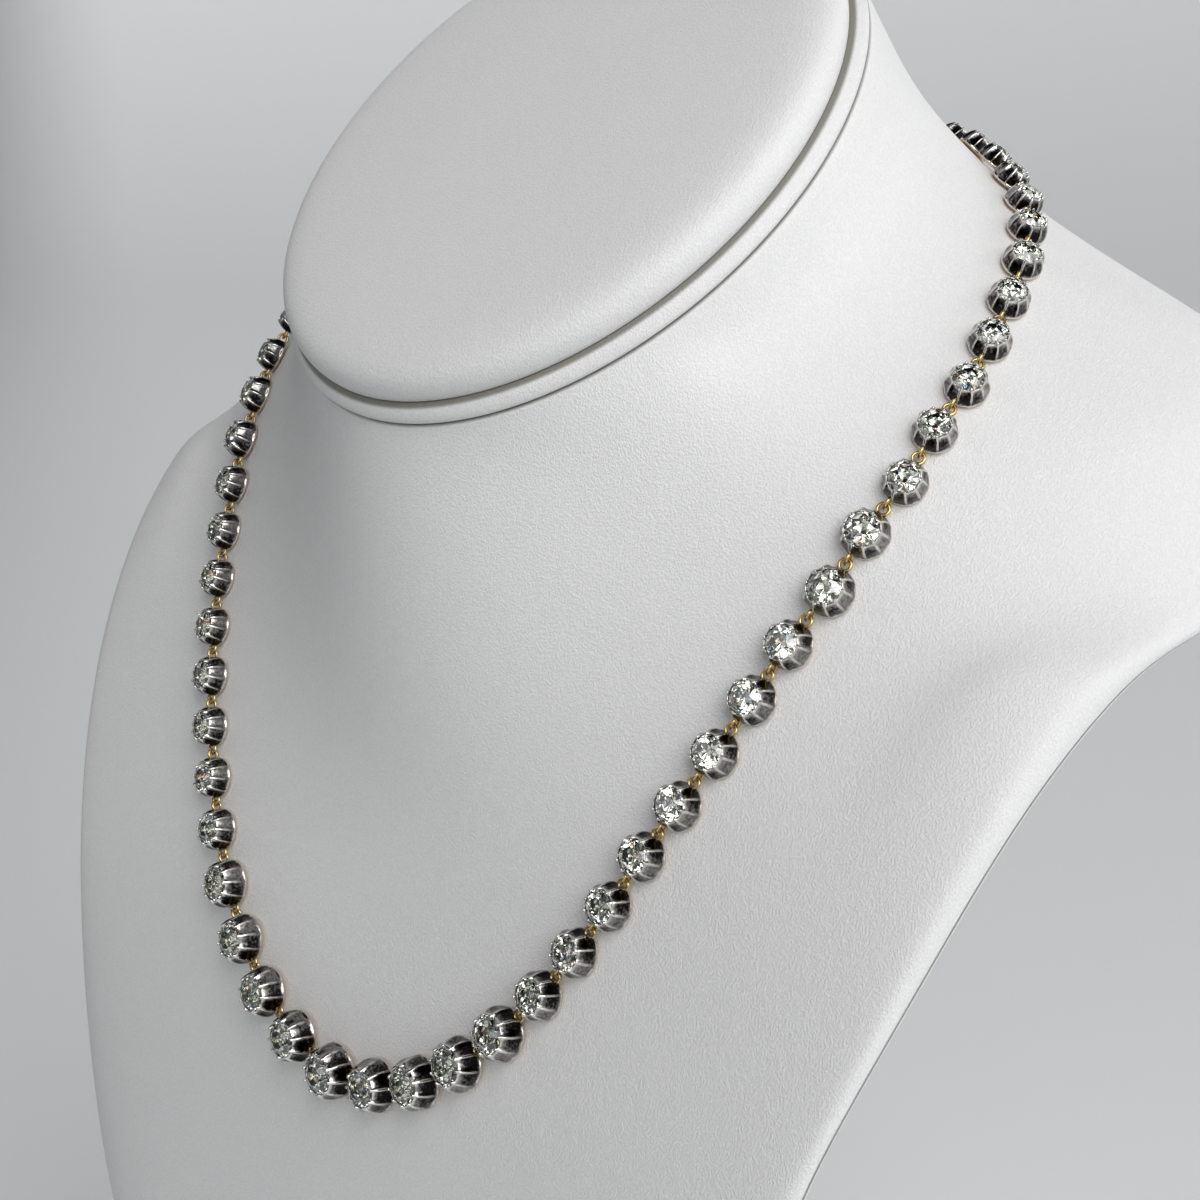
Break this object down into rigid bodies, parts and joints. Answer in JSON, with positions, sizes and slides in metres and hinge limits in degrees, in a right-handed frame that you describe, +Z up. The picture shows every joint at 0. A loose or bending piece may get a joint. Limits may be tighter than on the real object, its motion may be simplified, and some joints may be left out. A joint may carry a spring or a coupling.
{
  "type": "riviere necklace on a neck bust",
  "caption": "Graduated riviere of round stones in cut-down claw collets linked by small rings, lying on a plain padded neck bust.",
  "frame": {"origin": "middle of the bust's foot, on the face that it stands on", "axes": "+Z up, -Y the way the bust and the necklace's middle stone face, +X to the right seen from the front"},
  "size_m": [0.1784, 0.0976, 0.296],
  "materials": {
    "leatherette": "pebbled",
    "silver": "polished, darkened in the hollows",
    "diamond": "polished",
    "gold": "polished"
  },
  "bodies": {
    "root": {"bust": "leatherette", "welt": "leatherette", "cap_pad": "leatherette", "left_collets": "silver", "right_collets": "silver", "stones": "diamond", "clasp": "gold"}
  },
  "joints": []
}
